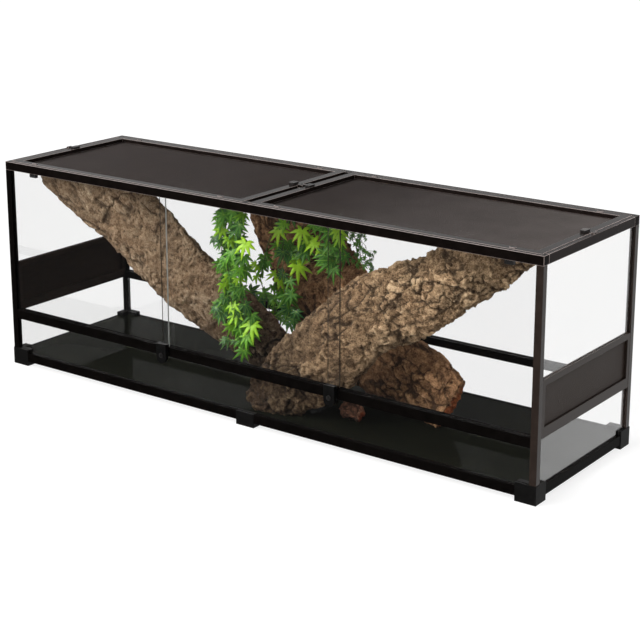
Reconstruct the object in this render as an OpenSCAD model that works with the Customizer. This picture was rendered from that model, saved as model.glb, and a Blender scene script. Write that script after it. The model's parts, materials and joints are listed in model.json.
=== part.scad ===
// Reptile terrarium: a glazed bar frame with three sliding front doors, two lift-off
// mesh lids held by slide latches, a mesh vent window at each end, two door locks,
// and a furnishing of cork bark and hanging vines.
// +X runs along the length, the doors face -Y, +Z is up, and the origin lies on the
// ground under the middle of the frame. All sizes are in millimetres.

/* [Tank] */
// Outer length of the bar frame
tank_l = 1800; // [1700:10:2100]
// Outer depth of the bar frame
tank_d = 500; // [480:10:600]
// Outer height of the bar frame
tank_h = 625; // [600:5:700]

/* [Bars] */
// Depth of every rail
bar_w = 25; // [24:0.5:30]
// Width of a post along the front
post_w = 20; // [18.5:0.5:25]
// Depth of a post along the end
post_d = 18; // [16:0.5:25]
// Height of the top rails
top_h = 25; // [24:0.5:32]
// Height of the base rails
base_h = 27; // [22:1:34]
// Space between the ground and the base rails
foot_gap = 13; // [8:1:20]
// Underside of the door rail above the ground
door_rail_z = 144; // [110:1:180]
// Height of the door rail
door_rail_h = 28; // [24:1:36]
// Underside of the back rail above the ground
back_rail_z = 164; // [120:1:220]
// Height of the back rail
back_rail_h = 22; // [20:1:32]

/* [Feet] */
// Length of a corner foot along the front
foot_l = 58; // [45:1:80]
// Length of a corner foot along the side
foot_w = 48; // [40:1:80]
// Height of a corner foot
foot_h = 50; // [44:1:60]
// How far the feet stand proud of the bars
foot_proud = 1.5; // [0.8:0.1:3]
// Length of a middle foot, which joins two half rails
mid_foot_l = 62; // [40:1:90]

/* [Glass] */
// Thickness of every pane
glass_t = 5; // [4:0.5:5]
// Depth of the grooves that the fixed panes sit in
groove_d = 8; // [6:0.5:9]
// Clearance round a pane in its groove
glass_gap = 0.3; // [0.2:0.05:0.5]
// Middle of an end pane behind the outer face of the end
end_inset = 8.5; // [8.5:0.25:9]
// Thickness of the floor panel
floor_t = 5; // [4:0.5:6]

/* [Doors] */
// Middle of the front door track behind the front face
front_track = 6.5; // [5.5:0.25:7]
// Distance between the two door tracks
track_pitch = 12; // [11:0.5:12.5]
// Depth of the door tracks
track_d = 6.5; // [5:0.5:6.5]
// Width of the middle door
mid_door_w = 612; // [500:1:640]
// Overlap of neighbouring doors
door_overlap = 30; // [20:1:50]
// Space above a door in its top track
door_lift = 1; // [0.5:0.1:1.5]
// Distance of a door stop from the nearest end of the frame
stop_inset = 100; // [80:1:140]
// Length of a door stop
stop_l = 26; // [15:1:40]
// How far a door stop hangs below the top rail
stop_drop = 14; // [8:1:20]

/* [Locks] */
// Width of a lock
lock_w = 35; // [30:1:45]
// How far a lock hangs below the door rail
lock_drop = 20; // [12:1:30]
// How far a lock stands up above the door rail
lock_rise = 9; // [5:1:14]
// Thickness of a lock in front of the rail
lock_t = 12; // [10:0.5:16]
// Radius of the lock barrel
barrel_r = 7; // [5:0.25:8]
// Running clearance of the barrel in its bore
barrel_gap = 0.05; // [0.02:0.01:0.1]

/* [Vents] */
// Underside of a side vent window above the ground
vent_z = 165; // [130:1:200]
// Height of a side vent window
vent_h = 150; // [110:1:200]
// Thickness of a vent frame
vent_t = 16; // [14:0.5:18]
// Height of a vent frame's lower band
vent_low_band = 28; // [22:1:34]
// Height of a vent frame's upper band
vent_top_band = 16; // [15:1:28]
// Width of a vent frame's end bands
vent_end_band = 14; // [12:1:24]

/* [Lids] */
// Width of a lid frame's band
lid_band = 24; // [22:0.5:32]
// Height of a lid frame
lid_h = 15.5; // [14:0.5:16]
// Width of the rail's rim round the lids
rim_w = 11; // [10:0.5:11.5]
// Gap between a lid and the rim
lid_gap = 2.5; // [1:0.1:3]
// Gap between the two lids
lid_spacing = 22; // [20:0.5:30]
// Distance of a lid frame's key plates from its corners
key_inset = 85; // [60:1:120]

/* [Mesh] */
// Thickness of the mesh
mesh_t = 1.5; // [1:0.1:2]
// Width of a mesh strand
strand_w = 3; // [2:0.25:5]
// How far the mesh reaches into its frame
mesh_reach = 4.5; // [3:0.25:5]
// Gaps along a lid mesh
lid_nx = 14; // [8:1:16]
// Gaps across a lid mesh
lid_ny = 7; // [4:1:9]
// Gaps along a vent mesh
vent_nx = 15; // [8:1:20]
// Gaps up a vent mesh
vent_nz = 3; // [2:1:5]

/* [Latches] */
// Width of a latch tongue
tongue_w = 15; // [10:0.5:20]
// Thickness of a latch tongue
tongue_t = 3.4; // [2:0.1:3.5]
// Travel of a latch
latch_travel = 8; // [5:0.5:8]
// Clearance round a latch tongue
latch_gap = 0.3; // [0.2:0.05:0.4]
// Width of a latch thumb piece
thumb_w = 24; // [16:1:34]
// Height of a latch thumb piece above the lid
thumb_h = 7; // [4:0.5:10]

/* [Furnishing] */
// Half width of the left bark slab at its top
bark_left_w = 126; // [90:1:135]
// Half width of the front bark slab
bark_front_w = 112; // [80:1:120]
// Half width of the rear bark slab at its top
bark_rear_w = 150; // [110:1:160]
// Half thickness of the bark slabs
bark_t = 42; // [30:1:48]
// Clear height left between the bark and the top rails
bark_clear = 6; // [2:1:30]
// Length of a vine leaf
leaf_l = 62; // [40:1:70]
// Length of the left vine
vine_left_h = 385; // [320:5:390]
// Distance of the left vine from the middle of the length
vine_left_x = 124; // [120:1:126]
// Length of the middle vine
vine_middle_h = 325; // [250:5:330]
// Distance of the middle vine from the middle of the length
vine_middle_x = 31; // [28:1:33]
// Length of the back vine
vine_back_h = 215; // [150:5:220]
// Distance of the back vine from the middle of the length
vine_back_x = 113; // [108:1:118]
// Length of the right vine
vine_right_h = 240; // [180:5:245]
// Lean of the right vine in degrees
vine_right_lean = 26; // [20:1:28]
// Thickness of a vine leaf
leaf_t = 1.6; // [1:0.1:2.5]
// Thickness of a vine stem
stem_t = 5; // [3:0.5:7]

/* [Hidden] */

// Half length, half depth, the same inside the rails, and the same inside the posts
hl = tank_l / 2;
hd = tank_d / 2;
il = hl - bar_w;
id = hd - bar_w;
pl = hl - post_w;
pd = hd - post_d;
// Levels: top of the base rails, of the door rail, and underside of the top rails
base_top = foot_gap + base_h;
door_rail_top = door_rail_z + door_rail_h;
top_z = tank_h - top_h;
lid_z = tank_h - lid_h;
// How far a fixed pane reaches into its groove
reach = groove_d - glass_gap;
// Planes of the panes: end glass at +-end_x, back glass, front and rear door tracks
end_x = hl - end_inset;
back_y = hd - bar_w / 2;
front_y = -hd + front_track;
rear_y = front_y + track_pitch;
// Middle of a door seam, which is also the middle of its lock
seam_x = (mid_door_w - door_overlap) / 2;
// Level of the bottom of the door tracks
track_z = door_rail_top - track_d;
// Lid outline: its outer end, inner end and half depth
lid_x1 = hl - rim_w - lid_gap;
lid_x0 = lid_spacing / 2;
lid_y = hd - rim_w - lid_gap;
// Level of the lid mesh and of the latch tongue inside the lid frame
lid_mesh_z = lid_z + 1.5;
tongue_z = lid_z + 4.6;
// Latches lie at the middle of the depth
latch_y = 10;
thumb_l = 16;
stem_w = 5;
eps = 0.01;

// Colours
bar_c = "#1c1917";
glass_c = [0.86, 0.9, 0.89, 0.3];
mesh_c = "#4a413d";
floor_c = "#26261f";
bark_c = "#7d6750";
root_c = "#8a5f47";
leaf_c = "#3f9a2c";

// ---------- shared shapes ----------

// A block between two corners, grown by c on every side
module block(lo, hi, c = 0) {
    translate([for (i = [0:2]) lo[i] - c])
        cube([for (i = [0:2]) hi[i] - lo[i] + 2 * c]);
}

// Copies its children to one of the four quarters of the plan
module quarter(sx, sy) {
    mirror([sx < 0 ? 1 : 0, 0, 0])
        mirror([0, sy < 0 ? 1 : 0, 0])
            children();
}

// ---------- panes ----------

module front_lower_pane(c = 0) {
    block([-pl - reach, front_y - glass_t / 2, base_top - reach],
          [pl + reach, front_y + glass_t / 2, door_rail_z + reach], c);
}

module back_pane(z0, z1, c = 0) {
    block([-pl - reach, back_y - glass_t / 2, z0 - reach],
          [pl + reach, back_y + glass_t / 2, z1 + reach], c);
}

module end_pane(side, z0, z1, c = 0) {
    x = side * end_x;
    block([x - glass_t / 2, -pd - reach, z0 - reach],
          [x + glass_t / 2, pd + reach, z1 + reach], c);
}

// The tongues that key a vent frame into the grooves of the posts
module vent_tongue(side, c = 0) {
    x = side * end_x;
    block([x - glass_t / 2, -pd - reach, vent_z + groove_d + 1],
          [x + glass_t / 2, pd + reach, vent_z + vent_h - groove_d - 1], c);
}

// The floor panel lies in a rebate of the base rails and fits between the posts
module floor_plate(c = 0) {
    block([-il - reach, -id, base_top - floor_t], [il + reach, id, base_top], c);
    block([-il, -id - reach, base_top - floor_t], [il, id + reach, base_top], c);
}

// Everything that is let into the bars, with its clearance
module let_in() {
    front_lower_pane(glass_gap);
    back_pane(base_top, back_rail_z, glass_gap);
    back_pane(back_rail_z + back_rail_h, top_z, glass_gap);
    for (side = [-1, 1]) {
        end_pane(side, base_top, vent_z, glass_gap);
        end_pane(side, vent_z + vent_h, top_z, glass_gap);
        vent_tongue(side, glass_gap);
    }
    floor_plate(glass_gap);
}

// Both door tracks as one cut, from z0 to z1 between x0 and x1
module track_cut(x0, x1, z0, z1) {
    for (y = [front_y, rear_y])
        block([x0, y - glass_t / 2 - glass_gap, z0], [x1, y + glass_t / 2 + glass_gap, z1]);
}

// ---------- feet ----------

// A corner foot: an L that takes the post and the ends of two base rails
module corner_foot(sx, sy) {
    color(bar_c)
        difference() {
            quarter(sx, sy)
                difference() {
                    union() {
                        block([hl - foot_l, id, 0], [hl + foot_proud, hd + foot_proud, foot_h]);
                        block([il, hd - foot_w, 0], [hl + foot_proud, hd + foot_proud, foot_h]);
                    }
                    block([pl, pd, foot_gap], [hl, hd, foot_h + 1], glass_gap / 2);
                }
            let_in();
        }
}

// A middle foot joins two half rails
module mid_foot(sy) {
    color(bar_c)
        difference() {
            quarter(1, sy)
                block([-mid_foot_l / 2, id, 0], [mid_foot_l / 2, hd + foot_proud, base_top]);
            let_in();
        }
}

module foot_front_left() { corner_foot(-1, -1); }
module foot_front_right() { corner_foot(1, -1); }
module foot_back_left() { corner_foot(-1, 1); }
module foot_back_right() { corner_foot(1, 1); }
module foot_mid_front() { mid_foot(-1); }
module foot_mid_back() { mid_foot(1); }

// ---------- base rails ----------

// Half of a long base rail, from its corner foot to its middle foot
module long_base_rail(sx, sy) {
    color(bar_c)
        difference() {
            quarter(sx, sy)
                block([mid_foot_l / 2, id, foot_gap], [hl - foot_l, hd, base_top]);
            let_in();
        }
}

module end_base_rail(sx) {
    color(bar_c)
        difference() {
            quarter(sx, 1)
                block([il, foot_w - hd, foot_gap], [hl, hd - foot_w, base_top]);
            let_in();
        }
}

module base_rail_front_left() { long_base_rail(-1, -1); }
module base_rail_front_right() { long_base_rail(1, -1); }
module base_rail_back_left() { long_base_rail(-1, 1); }
module base_rail_back_right() { long_base_rail(1, 1); }
module base_rail_left() { end_base_rail(-1); }
module base_rail_right() { end_base_rail(1); }

// ---------- posts ----------

// A post stands in its foot; a front post also takes the edge of a side door
module post(sx, sy) {
    color(bar_c)
        difference() {
            quarter(sx, sy)
                block([pl, pd, foot_gap], [hl, hd, top_z]);
            let_in();
            if (sy < 0)
                block([-pl - reach, front_y - glass_t / 2, track_z + glass_gap],
                      [pl + reach, front_y + glass_t / 2, top_z + 1], glass_gap);
        }
}

module post_front_left() { post(-1, -1); }
module post_front_right() { post(1, -1); }
module post_back_left() { post(-1, 1); }
module post_back_right() { post(1, 1); }

// ---------- top frame ----------

// The room for a lid between the rims; side is -1 for the left lid, 1 for the right
module lid_room(side) {
    quarter(side, 1)
        block([lid_x0 - lid_gap, -lid_y - lid_gap, lid_z],
              [lid_x1 + lid_gap, lid_y + lid_gap, tank_h + 1]);
}

// A pocket for a latch tongue, opening towards the lid from plane x, going in by out
module tongue_pocket(x, dir) {
    depth = latch_travel + 0.5;
    translate([x, latch_y, tongue_z])
        scale_x(dir)
            block([-eps, -tongue_w / 2, 0], [depth, tongue_w / 2, tongue_t], latch_gap);
}

// Mirrors its children for a direction of -1 along X
module scale_x(dir) {
    mirror([dir < 0 ? 1 : 0, 0, 0])
        children();
}

// A raised keeper that marks where a latch engages
module keeper(x0, x1, z0) {
    block([x0, latch_y - tongue_w / 2 - 1.5, z0], [x1, latch_y + tongue_w / 2 + 1.5, tank_h + 3.5]);
}

module long_top_rail(sy) {
    color(bar_c)
        difference() {
            quarter(1, sy)
                block([-hl, id, top_z], [hl, hd, tank_h]);
            let_in();
            lid_room(-1);
            lid_room(1);
            if (sy < 0)
                track_cut(-pl - reach, pl + reach, top_z - 1, top_z + track_d);
        }
}

module end_top_rail(sx) {
    color(bar_c)
        difference() {
            union() {
                quarter(sx, 1)
                    block([il, -id, top_z], [hl, id, tank_h]);
                quarter(sx, 1)
                    keeper(hl - rim_w + 1, hl - 1, tank_h - 1);
            }
            let_in();
            difference() {
                lid_room(sx);
                quarter(sx, 1)
                    keeper(hl - rim_w + 1, hl - 1, tank_h - 1);
            }
            tongue_pocket(sx * (hl - rim_w), sx);
        }
}

module top_rail_front() { long_top_rail(-1); }
module top_rail_back() { long_top_rail(1); }
module top_rail_left() { end_top_rail(-1); }
module top_rail_right() { end_top_rail(1); }

// The middle beam carries the inner ends of both lids; its ridge lies below the lids' tops
module top_beam() {
    ridge = lid_x0 - lid_gap;
    ridge_top = tank_h - 5;
    ledge = lid_x0 + lid_band;
    color(bar_c)
        difference() {
            union() {
                block([-ledge, -id, top_z], [ledge, id, lid_z]);
                block([-ridge, -id, top_z], [ridge, id, ridge_top]);
                keeper(-ridge, ridge, ridge_top - 1);
            }
            for (dir = [-1, 1])
                difference() {
                    tongue_pocket(dir * ridge, -dir);
                    block([-0.5, -id, 0], [0.5, id, tank_h]);
                }
        }
}

// ---------- door rail and back rail ----------

module door_rail() {
    color(bar_c)
        difference() {
            block([-pl, -hd, door_rail_z], [pl, -id, door_rail_top]);
            let_in();
            track_cut(-pl - 1, pl + 1, track_z, door_rail_top + 1);
        }
}

module back_rail() {
    color(bar_c)
        difference() {
            block([-pl, id, back_rail_z], [pl, hd, back_rail_z + back_rail_h]);
            let_in();
        }
}

// ---------- floor and fixed glass ----------

module floor_panel() { color(floor_c) floor_plate(); }
module glass_front_lower() { color(glass_c) front_lower_pane(); }
module glass_back_lower() { color(glass_c) back_pane(base_top, back_rail_z); }
module glass_back_upper() { color(glass_c) back_pane(back_rail_z + back_rail_h, top_z); }
module glass_left_lower() { color(glass_c) end_pane(-1, base_top, vent_z); }
module glass_left_upper() { color(glass_c) end_pane(-1, vent_z + vent_h, top_z); }
module glass_right_lower() { color(glass_c) end_pane(1, base_top, vent_z); }
module glass_right_upper() { color(glass_c) end_pane(1, vent_z + vent_h, top_z); }

// ---------- side vents ----------

// Inner opening of a vent frame: half depth, low and high level
vent_oy = pd - vent_end_band;
vent_oz0 = vent_z + vent_low_band;
vent_oz1 = vent_z + vent_h - vent_top_band;

module vent_frame(side) {
    x = side * end_x;
    color(bar_c)
        difference() {
            union() {
                block([x - vent_t / 2, -pd, vent_z], [x + vent_t / 2, pd, vent_z + vent_h]);
                vent_tongue(side);
            }
            block([x - vent_t, -vent_oy, vent_oz0], [x + vent_t, vent_oy, vent_oz1]);
            vent_net_plate(side, latch_gap);
            end_pane(side, base_top, vent_z, glass_gap);
            end_pane(side, vent_z + vent_h, top_z, glass_gap);
        }
}

module vent_net_plate(side, c = 0) {
    x = side * end_x;
    block([x - mesh_t / 2, -vent_oy - mesh_reach, vent_oz0 - mesh_reach],
          [x + mesh_t / 2, vent_oy + mesh_reach, vent_oz1 + mesh_reach], c);
}

// Evenly spread net gaps: start of gap i of n across a span
function gap_at(lo, hi, n, i) = lo + strand_w / 2 + i * (hi - lo) / n;
function gap_size(lo, hi, n) = (hi - lo) / n - strand_w;

module vent_mesh(side) {
    x = side * end_x;
    gy = gap_size(-vent_oy, vent_oy, vent_nx);
    gz = gap_size(vent_oz0, vent_oz1, vent_nz);
    color(mesh_c)
        difference() {
            vent_net_plate(side);
            for (i = [0:vent_nx - 1], k = [0:vent_nz - 1])
                translate([x - mesh_t, gap_at(-vent_oy, vent_oy, vent_nx, i),
                           gap_at(vent_oz0, vent_oz1, vent_nz, k)])
                    cube([2 * mesh_t, gy, gz]);
        }
}

module vent_frame_left() { vent_frame(-1); }
module vent_frame_right() { vent_frame(1); }
module vent_mesh_left() { vent_mesh(-1); }
module vent_mesh_right() { vent_mesh(1); }

// ---------- doors ----------

// A door pane between x0 and x1 in the track at y
module door_pane(x0, x1, y) {
    color(glass_c)
        block([x0, y - glass_t / 2, track_z + glass_gap],
              [x1, y + glass_t / 2, top_z + track_d - door_lift]);
}

// The side doors run in the front track and reach into the posts
module door_left() { door_pane(-pl - reach + 1, -seam_x + door_overlap / 2, front_y); }
module door_middle() { door_pane(-mid_door_w / 2, mid_door_w / 2, rear_y); }
module door_right() { door_pane(seam_x - door_overlap / 2, pl + reach - 1, front_y); }

// Stops hang from the rear track and end the middle door's travel
module door_stops() {
    head_t = glass_t + 4;
    color(bar_c)
        for (sx = [-1, 1])
            quarter(sx, 1) {
                block([hl - stop_inset - stop_l / 2, rear_y - glass_t / 2, top_z - eps],
                      [hl - stop_inset + stop_l / 2, rear_y + glass_t / 2, top_z + track_d - glass_gap]);
                block([hl - stop_inset - stop_l / 2, rear_y - head_t / 2, top_z - stop_drop],
                      [hl - stop_inset + stop_l / 2, rear_y + head_t / 2, top_z]);
            }
}

// ---------- locks ----------

// The cam turns in a pocket behind the barrel
cam_l = barrel_r + 4;
cam_t = 3;
pocket_t = cam_t + 0.8;
lock_z = door_rail_z + lock_w / 2 - lock_drop + 6;

module lock_body(side) {
    x = side * seam_x;
    round_z = door_rail_z - lock_drop + lock_w / 2;
    color(bar_c)
        difference() {
            union() {
                block([x - lock_w / 2, -hd - lock_t, round_z],
                      [x + lock_w / 2, -hd, door_rail_top + lock_rise]);
                translate([x, -hd, round_z])
                    rotate([90, 0, 0])
                        cylinder(h = lock_t, r = lock_w / 2, $fn = 64);
                block([x - lock_w / 2, -hd - eps, door_rail_top],
                      [x + lock_w / 2, front_y - glass_t / 2 - 2 * glass_gap, door_rail_top + lock_rise]);
            }
            translate([x, 1 - hd, lock_z])
                rotate([90, 0, 0])
                    cylinder(h = lock_t + 2, r = barrel_r + barrel_gap, $fn = 64);
            translate([x, 1 - hd, lock_z])
                rotate([90, 0, 0])
                    cylinder(h = pocket_t + 1, r = cam_l + 1, $fn = 64);
        }
}

// The barrel carries a keyway in front and a cam behind
module lock_barrel(side) {
    x = side * seam_x;
    front = -hd - lock_t - 1.5;
    color("#8d8a86")
        translate([x, 0, lock_z])
            difference() {
                union() {
                    translate([0, -hd - 0.4, 0])
                        rotate([90, 0, 0])
                            cylinder(h = lock_t + 1.1, r = barrel_r, $fn = 64);
                    intersection() {
                        block([-3.5, -hd - 0.4 - cam_t, -cam_l], [3.5, -hd - 0.4, 0]);
                        translate([0, -hd, 0])
                            rotate([90, 0, 0])
                                cylinder(h = cam_t + 1, r = cam_l, $fn = 64);
                    }
                }
                block([-1, front - 1, -4.5], [1, front + 5, 4.5]);
            }
}

module lock_body_left() { lock_body(-1); }
module lock_body_right() { lock_body(1); }
module lock_barrel_left() { lock_barrel(-1); }
module lock_barrel_right() { lock_barrel(1); }

// ---------- lids ----------

// Inner opening of the right lid frame
lid_ox0 = lid_x0 + lid_band;
lid_ox1 = lid_x1 - lid_band;
lid_oy = lid_y - lid_band;

module lid_net_plate(c = 0) {
    block([lid_ox0 - mesh_reach, -lid_oy - mesh_reach, lid_mesh_z],
          [lid_ox1 + mesh_reach, lid_oy + mesh_reach, lid_mesh_z + mesh_t], c);
}

// The channel of a latch, cut into the lid's end band at plane x, opening towards dir
module latch_channel(x, dir) {
    translate([x, latch_y, tongue_z])
        scale_x(dir) {
            block([2 - lid_band, -tongue_w / 2, 0], [1, tongue_w / 2, tongue_t], latch_gap);
            block([-thumb_rest - stem_w / 2, -stem_w / 2, 0],
                  [-thumb_rest + stem_w / 2 + latch_travel, stem_w / 2, lid_h], latch_gap);
        }
}

// Distance of the thumb piece's middle from the lid's end at rest
thumb_rest = lid_band - thumb_l / 2 + 1;

// A small key plate on top of a long band
module key_plate(x, sy) {
    block([x - 8, sy * (lid_y - lid_band / 2) - 4, tank_h - 1],
          [x + 8, sy * (lid_y - lid_band / 2) + 4, tank_h + 1.2]);
}

module lid_frame(side) {
    color(bar_c)
        quarter(side, 1)
            difference() {
                union() {
                    block([lid_x0, -lid_y, lid_z], [lid_x1, lid_y, tank_h]);
                    for (x = [lid_x0 + key_inset, lid_x1 - key_inset], sy = [-1, 1])
                        key_plate(x, sy);
                }
                block([lid_ox0, -lid_oy, lid_z - 1], [lid_ox1, lid_oy, tank_h + 2]);
                lid_net_plate(glass_gap);
                latch_channel(lid_x0, -1);
                latch_channel(lid_x1, 1);
            }
}

module lid_mesh(side) {
    gx = gap_size(lid_ox0, lid_ox1, lid_nx);
    gy = gap_size(-lid_oy, lid_oy, lid_ny);
    color(mesh_c)
        quarter(side, 1)
            difference() {
                lid_net_plate();
                for (i = [0:lid_nx - 1], k = [0:lid_ny - 1])
                    translate([gap_at(lid_ox0, lid_ox1, lid_nx, i),
                               gap_at(-lid_oy, lid_oy, lid_ny, k), lid_mesh_z - 1])
                        cube([gx, gy, mesh_t + 2]);
            }
}

module lid_frame_left() { lid_frame(-1); }
module lid_frame_right() { lid_frame(1); }
module lid_mesh_left() { lid_mesh(-1); }
module lid_mesh_right() { lid_mesh(1); }

// ---------- latches ----------

// A latch at the lid's end plane x: a tongue in the channel, a stem and a ribbed thumb piece
module latch(side, x, dir) {
    color("#3a3431")
        quarter(side, 1)
            translate([x, latch_y, tongue_z])
                scale_x(dir) {
                    block([4 - lid_band, -tongue_w / 2, 0], [-0.5, tongue_w / 2, tongue_t]);
                    block([-thumb_rest - stem_w / 2, -stem_w / 2, 0],
                          [-thumb_rest + stem_w / 2, stem_w / 2, tank_h - tongue_z + 1]);
                    thumb_piece();
                }
}

module thumb_piece() {
    z0 = tank_h - tongue_z + latch_gap;
    z1 = tank_h - tongue_z + thumb_h;
    rib = 2;
    difference() {
        block([-thumb_rest - thumb_l / 2, -thumb_w / 2, z0], [-thumb_rest + thumb_l / 2, thumb_w / 2, z1]);
        for (k = [-1, 0, 1])
            block([-thumb_rest + k * 2 * rib - rib / 2, -thumb_w, z1 - 1.2],
                  [-thumb_rest + k * 2 * rib + rib / 2, thumb_w, z1 + 1]);
    }
}

module latch_left_outer() { latch(-1, lid_x1, 1); }
module latch_left_inner() { latch(-1, lid_x0, -1); }
module latch_right_inner() { latch(1, lid_x0, -1); }
module latch_right_outer() { latch(1, lid_x1, 1); }

// ---------- bark ----------

// Points in each ring of a bark loft
sides = 18;

// A bark slab is lofted along stations [x, y, z, half width, half thickness]; this is the
// smooth blend of the stations at s, from 0 to 1
function at(st, s) =
    let (f = s * (len(st) - 1), i = min(floor(f), len(st) - 2), u = f - i,
         a = st[max(i - 1, 0)], b = st[i], c = st[i + 1], d = st[min(i + 2, len(st) - 1)])
    b + u * (c - a) / 2 + u * u * (a - 5 * b / 2 + 2 * c - d / 2)
      + u * u * u * (3 * (b - c) + d - a) / 2;

// The way across the slab at s: square to its path, in the upright plane along X
function across(st, s) =
    let (d = at(st, min(s + 0.03, 1)) - at(st, max(s - 0.03, 0)))
    [d[2], 0, -d[0]] / norm([d[0], d[2]]);

// Lumps and furrows: a factor on the radius at angle q and station s
function lump(q, s, seed) =
    1 + 0.04 * sin(3 * q + 420 * s + seed) + 0.03 * sin(5 * q - 640 * s + 2 * seed)
      + 0.03 * sin(2 * q + 1180 * s + 3 * seed);

// A point of the slab's skin
function skin_point(st, s, q, seed) =
    let (c = at(st, s))
    [c[0], c[1], c[2]] + across(st, s) * c[3] * cos(q) * lump(q, s, seed)
      + [0, c[4] * sin(q) * lump(q, s, seed + 40), 0];

function end_point(st, s) = let (c = at(st, s)) [c[0], c[1], c[2]];

module slab_loft(st, rings, seed) {
    points = concat(
        [for (j = [0:rings], i = [0:sides - 1]) skin_point(st, j / rings, 360 * i / sides, seed)],
        [end_point(st, 0), end_point(st, 1)]);
    start = (rings + 1) * sides;
    faces = concat(
        [for (j = [0:rings - 1], i = [0:sides - 1])
            [j * sides + i, (j + 1) * sides + (i + 1) % sides, j * sides + (i + 1) % sides]],
        [for (j = [0:rings - 1], i = [0:sides - 1])
            [j * sides + i, (j + 1) * sides + i, (j + 1) * sides + (i + 1) % sides]],
        [for (i = [0:sides - 1]) [start, i, (i + 1) % sides]],
        [for (i = [0:sides - 1]) [start + 1, rings * sides + (i + 1) % sides, rings * sides + i]]);
    polyhedron(points = points, faces = faces, convexity = 4);
}

// A slab cut off flat where it meets the floor, the front glass or the lids
module kept_slab(st, rings, seed) {
    intersection() {
        slab_loft(st, rings, seed);
        block([bark_gap - il, bark_gap - id, bark_lo], [il - bark_gap, id - bark_gap, bark_hi]);
    }
}

// Clearance between the bark and the walls, and the levels of its foot and its top
bark_gap = 3;
bark_lo = base_top + 0.3;
bark_hi = top_z - bark_clear;

// Leans from the top left corner down to the middle of the floor
module bark_left() {
    w = bark_left_w;
    color(bark_c)
        kept_slab([
            [155 - hl, 68 - hd, bark_hi + 74, w, bark_t],
            [300 - hl, 85 - hd, bark_hi - 28, w, bark_t],
            [425 - hl, 100 - hd, bark_hi - 109, 0.94 * w, bark_t],
            [-373, 115 - hd, bark_lo + 356, 0.91 * w, bark_t],
            [-296, 130 - hd, bark_lo + 285, 0.91 * w, bark_t],
            [-192, 152 - hd, bark_lo + 215, 0.78 * w, bark_t - 8],
            [-90, 172 - hd, bark_lo + 150, 0.73 * w, bark_t - 12],
            [-20, 188 - hd, bark_lo + 98, 0.64 * w, bark_t - 12],
            [40, 208 - hd, bark_lo + 50, 0.58 * w, bark_t - 12]
        ], 22, 20);
}

// Leans from the floor behind the front glass up to the right
module bark_front() {
    w = bark_front_w;
    color(bark_c)
        kept_slab([
            [30, 62 - hd, bark_lo - 10, 0.79 * w, bark_t - 8],
            [99, 72 - hd, bark_lo + 90, 0.85 * w, bark_t - 4],
            [204, 85 - hd, bark_lo + 177, w, bark_t],
            [332, 98 - hd, bark_lo + 295, 0.95 * w, bark_t],
            [459, 110 - hd, bark_lo + 365, 0.9 * w, bark_t],
            [567, 120 - hd, bark_hi - 115, 0.84 * w, bark_t],
            [650, 130 - hd, bark_hi - 43, 0.84 * w, bark_t - 2],
            [732, 140 - hd, bark_hi + 30, 0.82 * w, bark_t - 2],
            [830, 150 - hd, bark_hi + 116, 0.82 * w, bark_t - 2]
        ], 22, 75);
}

// Stands behind the crossing and runs out to the lower right
module bark_rear() {
    w = bark_rear_w;
    color(bark_c)
        kept_slab([
            [-150, hd - 160, bark_hi + 126, w, bark_t],
            [-86, hd - 160, bark_hi - 95, w, bark_t],
            [-40, hd - 165, bark_lo + 368, 0.98 * w, bark_t],
            [14, hd - 170, bark_lo + 286, 1.06 * w, bark_t],
            [130, hd - 190, bark_lo + 196, w, bark_t],
            [276, hd - 220, bark_lo + 140, 0.85 * w, bark_t - 2],
            [410, hd - 248, bark_lo + 110, 0.7 * w, bark_t - 6],
            [515, hd - 270, bark_lo + 60, 0.61 * w, bark_t - 10]
        ], 22, 140);
}

// A short piece of root on the floor under the crossing
module bark_small() {
    color(root_c)
        kept_slab([
            [236, 131 - hd, bark_lo + 14, 18, 14],
            [266, 131 - hd, bark_lo + 30, 30, 22],
            [298, 125 - hd, bark_lo + 16, 20, 14]
        ], 8, 10);
}

// ---------- vines ----------

// Level of the underside of the lid mesh, from which most vines hang
hang_z = lid_mesh_z;
// Strands of the lid mesh that carry a vine, by their distance from the mesh's edge
function strand_x(k) = lid_ox0 + k * (lid_ox1 - lid_ox0) / lid_nx;
function strand_y(k) = -lid_oy + 2 * k * lid_oy / lid_ny;

// A leaf of five pointed lobes that spread from its foot, drawn along +X; step is the
// angle between neighbouring lobes
module leaf_outline(l) {
    step = 36;
    tips = [for (k = [-2:2]) l * (1 - 0.09 * abs(k)) * [cos(step * k), sin(step * k)]];
    dips = [for (k = [-2:1]) 0.42 * l * [cos(step * (k + 0.5)), sin(step * (k + 0.5))]];
    polygon([[-2, 0], [0, -0.17 * l], tips[0], dips[0], tips[1], dips[1], tips[2],
             dips[2], tips[3], dips[3], tips[4], [0, 0.17 * l]]);
}

// One leaf on its stalk, which leaves the stem at a turn about it and a droop below level
module leaf(turn, droop, l) {
    rotate([0, droop, turn]) {
        translate([-1, -1, -leaf_t / 2])
            cube([13, 2, leaf_t]);
        translate([11, 0, -leaf_t / 2])
            linear_extrude(leaf_t)
                leaf_outline(l);
    }
}

// A vine that hangs from [x, y, z]: n leaves of length l along a stem of length h, which
// leans by a few degrees below its upright head; the leaves spread about the bearing face
module vine(x, y, z, h, n, l, seed, face, lean = 0) {
    head = 9;
    color(leaf_c)
        translate([x, y, z]) {
            translate([-stem_t / 2, -stem_t / 2, -head])
                cube([stem_t, stem_t, head]);
            translate([0, 0, -head])
                rotate([0, -lean, 0]) {
                    translate([-stem_t / 2, -stem_t / 2, head - h])
                        cube([stem_t, stem_t, h - head + 1]);
                    for (i = [0:n - 1])
                        translate([0, 0, -16 - (h - 34) * i / (n - 1)])
                            leaf(face + 52 * sin(seed + 137 * i), 36 + 24 * sin(seed + 71 * i),
                                 l * (0.86 + 0.14 * sin(53 * i)));
                }
        }
}

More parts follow.
